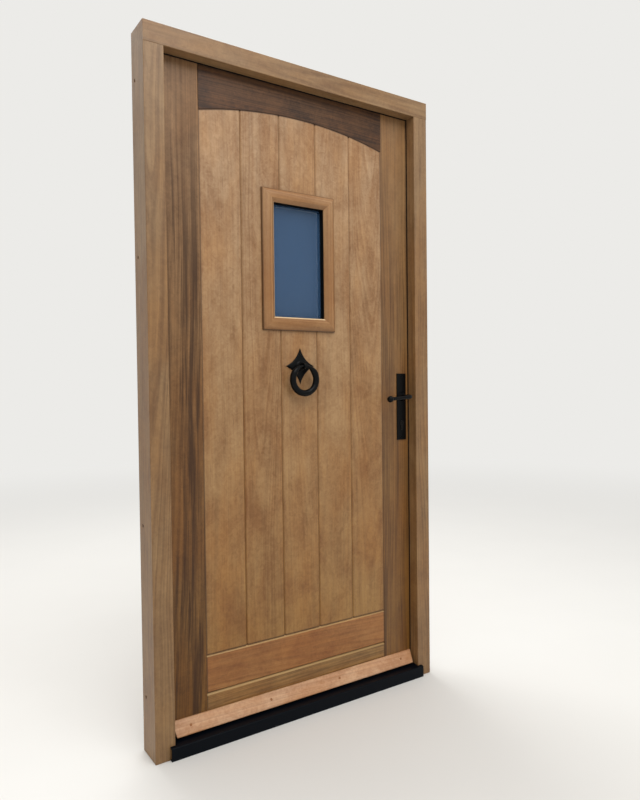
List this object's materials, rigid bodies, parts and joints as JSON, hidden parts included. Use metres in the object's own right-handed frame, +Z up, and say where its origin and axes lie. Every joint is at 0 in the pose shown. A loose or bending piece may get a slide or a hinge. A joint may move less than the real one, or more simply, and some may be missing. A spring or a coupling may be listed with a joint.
{
  "type": "panelled front door",
  "caption": "Boarded timber front door in its rebated frame, with arched top rail, small glazed light, ring knocker, lever handle, weatherboard and threshold, hinged to open inwards.",
  "frame": {"origin": "on the threshold's underside, at the middle of the frame's width and of its depth", "axes": "+X to the right seen from outside, from the hinges to the lock; +Y into the house; +Z up"},
  "size_m": [1.005, 0.185, 1.997],
  "materials": {
    "frame_timber": "translucent oak stain, satin",
    "leaf_timber": "translucent oak stain, satin",
    "dark_timber": "translucent oak stain, satin",
    "board_timber": "translucent oak stain, satin",
    "moulding_timber": "translucent oak stain, satin",
    "weatherboard_timber": "translucent oak stain, satin, weathered",
    "core_timber": "raw engineered timber",
    "black_aluminium": "black powder coat, satin",
    "black_rubber": "matt",
    "glass": "clear",
    "spacer_aluminium": "mill finish",
    "black_iron": "black, satin, hammered edges",
    "black_brass": "blackened, satin",
    "satin_steel": "satin"
  },
  "bodies": {
    "frame": {"frame_head": "frame_timber", "hinge_jamb": "frame_timber", "lock_jamb": "frame_timber", "threshold": "black_aluminium", "threshold_seal": "black_rubber", "frame_seal": "black_rubber", "keep_plate": "satin_steel", "top_hinge_frame_leaf": "satin_steel", "middle_hinge_frame_leaf": "satin_steel", "bottom_hinge_frame_leaf": "satin_steel", "hinge_pins": "satin_steel", "frame_screws": "satin_steel"},
    "leaf": {"hinge_stile": "leaf_timber", "lock_stile": "leaf_timber", "top_rail": "dark_timber", "bottom_rail": "leaf_timber", "lower_board": "board_timber", "outer_board_1": "board_timber", "outer_board_2": "board_timber", "outer_board_3_upper": "board_timber", "outer_board_3_lower": "board_timber", "outer_board_4": "board_timber", "outer_board_5": "board_timber", "inner_board_1": "board_timber", "inner_board_2": "board_timber", "inner_board_3_upper": "board_timber", "inner_board_3_lower": "board_timber", "inner_board_4": "board_timber", "inner_board_5": "board_timber", "leaf_core": "core_timber", "window_moulding_top": "moulding_timber", "window_moulding_bottom": "moulding_timber", "window_moulding_left": "moulding_timber", "window_moulding_right": "moulding_timber", "inner_window_mouldings": "moulding_timber", "outer_pane": "glass", "inner_pane": "glass", "pane_spacer": "spacer_aluminium", "glazing_gaskets": "black_rubber", "weatherboard": "weatherboard_timber", "outer_handle_plate": "black_iron", "inner_handle_plate": "black_iron", "knocker_plate": "black_iron", "lock_faceplate": "satin_steel", "lock_case": "satin_steel", "cylinder_body": "black_brass", "top_hinge_door_leaf": "satin_steel", "middle_hinge_door_leaf": "satin_steel", "bottom_hinge_door_leaf": "satin_steel", "leaf_screws": "satin_steel", "black_screws": "black_iron"},
    "handle": {"outer_lever": "black_iron", "inner_lever": "black_iron", "spindle": "satin_steel", "follower": "satin_steel"},
    "latch": {"latch_bolt": "satin_steel"},
    "deadbolt": {"deadbolt": "satin_steel"},
    "cylinder": {"key_plug": "black_brass", "thumbturn": "black_brass"},
    "knocker": {"knocker_ring": "black_iron"}
  },
  "joints": [
    {"name": "leaf_swing", "type": "hinge", "parent": "frame", "child": "leaf", "pos_m": [-0.459, 0.0543, 0], "axis": [0, 0, 1], "range_deg": [0, 110]},
    {"name": "handle_turn", "type": "hinge", "parent": "leaf", "child": "handle", "pos_m": [0.4125, 0.0205, 0.98], "axis": [0, -1, 0], "range_deg": [0, 40], "stiffness_Nm_per_rad": 1.2, "springref_deg": -20.05},
    {"name": "latch_slide", "type": "slide", "parent": "leaf", "child": "latch", "axis": [1, 0, 0], "range_m": [0, 0.012]},
    {"name": "cylinder_turn", "type": "hinge", "parent": "leaf", "child": "cylinder", "pos_m": [0.4125, 0.0205, 0.888], "axis": [0, 1, 0], "range_deg": [0, 360]},
    {"name": "deadbolt_slide", "type": "slide", "parent": "leaf", "child": "deadbolt", "axis": [1, 0, 0], "range_m": [0, 0.02]},
    {"name": "knocker_swing", "type": "hinge", "parent": "leaf", "child": "knocker", "pos_m": [0, -0.0315, 1.084], "axis": [-1, 0, 0], "range_deg": [-10, 165]}
  ],
  "couplings": [
    {"joint": "cylinder_turn", "follows": "deadbolt_slide", "rad_per_m": 314.16}
  ]
}
